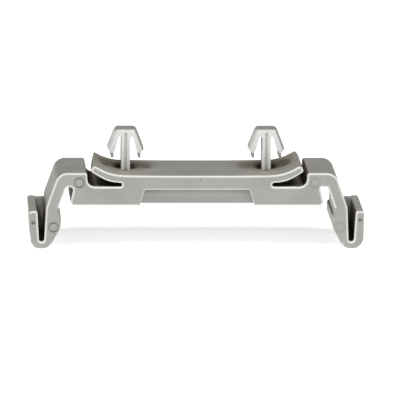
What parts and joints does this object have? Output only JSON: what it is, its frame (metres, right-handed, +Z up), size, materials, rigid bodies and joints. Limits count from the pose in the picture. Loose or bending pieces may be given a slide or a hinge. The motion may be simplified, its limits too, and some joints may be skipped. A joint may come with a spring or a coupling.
{
  "type": "terminal block mounting foot",
  "caption": "Grey moulded foot that clips on a top-hat rail with hooked spring arms and release levers, and carries a terminal block on barbed snap pins between spring leaves.",
  "frame": {"origin": "middle of the flat seat that rests on the rail", "axes": "+X across the rail from hook to hook, +Y along the rail, +Z up from the seat to the snap pins"},
  "size_m": [0.0428, 0.01, 0.0148],
  "materials": {
    "moulding": "moulded satin polyamide"
  },
  "bodies": {
    "root": {"mounting_foot": "moulding"}
  },
  "joints": []
}
